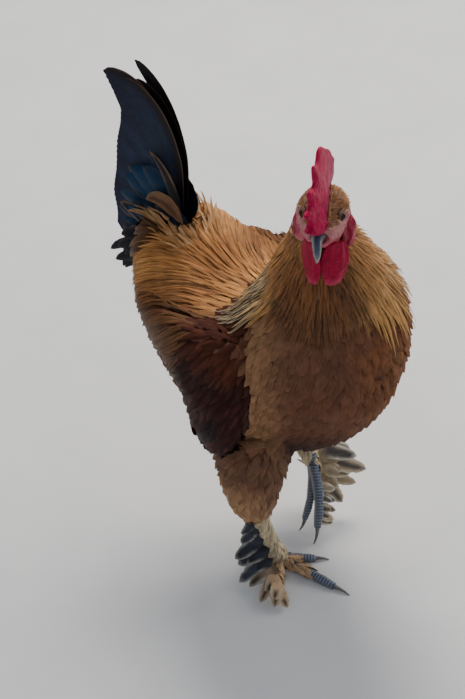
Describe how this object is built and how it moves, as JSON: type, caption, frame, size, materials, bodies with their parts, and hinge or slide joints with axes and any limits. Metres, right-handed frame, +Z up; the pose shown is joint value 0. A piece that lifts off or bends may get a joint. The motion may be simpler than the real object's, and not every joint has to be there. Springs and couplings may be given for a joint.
{
  "type": "rooster",
  "caption": "Life-size still model of a feather-legged cock walking, head turned to its right and left foot lifted, with upright comb and dark tail.",
  "frame": {"origin": "on the floor, at the middle of the whole bird's plan", "axes": "+Z up; -Y is the way the bird walks, so its right side is -X; the head looks round towards -X and -Y"},
  "size_m": [0.2518, 0.3915, 0.592],
  "materials": {
    "plumage": "soft broad buff-brown body feathers, chestnut below",
    "hackle": "long narrow golden-orange feathers with dark shaft streaks",
    "saddle": "long narrow golden-orange saddle feathers",
    "face": "bare pinkish-red facial skin with short brown crown feathers",
    "thigh_plumage": "soft fluffy buff-tan feathers",
    "wing_plumage": "dark mahogany feathers with lighter shaft streaks",
    "tail_plumage": "stiff black feathers with a blue sheen",
    "tail_coverts": "black feathers with a teal sheen and buff edging",
    "foot_plumage": "stiff cream feathers with dark grey centres",
    "comb": "fleshy crimson skin with fine pimples",
    "scales": "slate-grey scuted skin",
    "beak": "slate-grey horn with a paler edge, slightly glossy",
    "claw": "dark horn, slightly glossy",
    "eye": "wet orange-brown eye with a dark pupil"
  },
  "bodies": {
    "root": {"beak_lower": "beak", "beak_upper": "beak", "breast": "plumage", "claw_hind_left": "claw", "claw_hind_right": "claw", "claw_inner_left": "claw", "claw_inner_right": "claw", "claw_middle_left": "claw", "claw_middle_right": "claw", "claw_outer_left": "claw", "claw_outer_right": "claw", "comb": "comb", "earlobe_left": "comb", "earlobe_right": "comb", "eye_left": "eye", "eye_right": "eye", "foot_feathers_left": "foot_plumage", "foot_feathers_right": "foot_plumage", "head": "face", "neck_lower": "hackle", "neck_upper": "hackle", "rump": "saddle", "shank_left": "scales", "shank_right": "scales", "sickle_left": "tail_plumage", "sickle_right": "tail_plumage", "tail_covert_left_1": "tail_coverts", "tail_covert_left_2": "tail_coverts", "tail_covert_left_3": "tail_coverts", "tail_covert_right_1": "tail_coverts", "tail_covert_right_2": "tail_coverts", "tail_covert_right_3": "tail_coverts", "tail_left_1": "tail_plumage", "tail_left_2": "tail_plumage", "tail_left_3": "tail_plumage", "tail_left_4": "tail_plumage", "tail_left_5": "tail_plumage", "tail_left_6": "tail_plumage", "tail_right_1": "tail_plumage", "tail_right_2": "tail_plumage", "tail_right_3": "tail_plumage", "tail_right_4": "tail_plumage", "tail_right_5": "tail_plumage", "tail_right_6": "tail_plumage", "thigh_left": "thigh_plumage", "thigh_right": "thigh_plumage", "toe_hind_left": "scales", "toe_hind_right": "scales", "toe_inner_left": "scales", "toe_inner_right": "scales", "toe_middle_left": "scales", "toe_middle_right": "scales", "toe_outer_left": "scales", "toe_outer_right": "scales", "trunk": "plumage", "wattle_left": "comb", "wattle_right": "comb", "wing_left": "wing_plumage", "wing_right": "wing_plumage"}
  },
  "joints": []
}
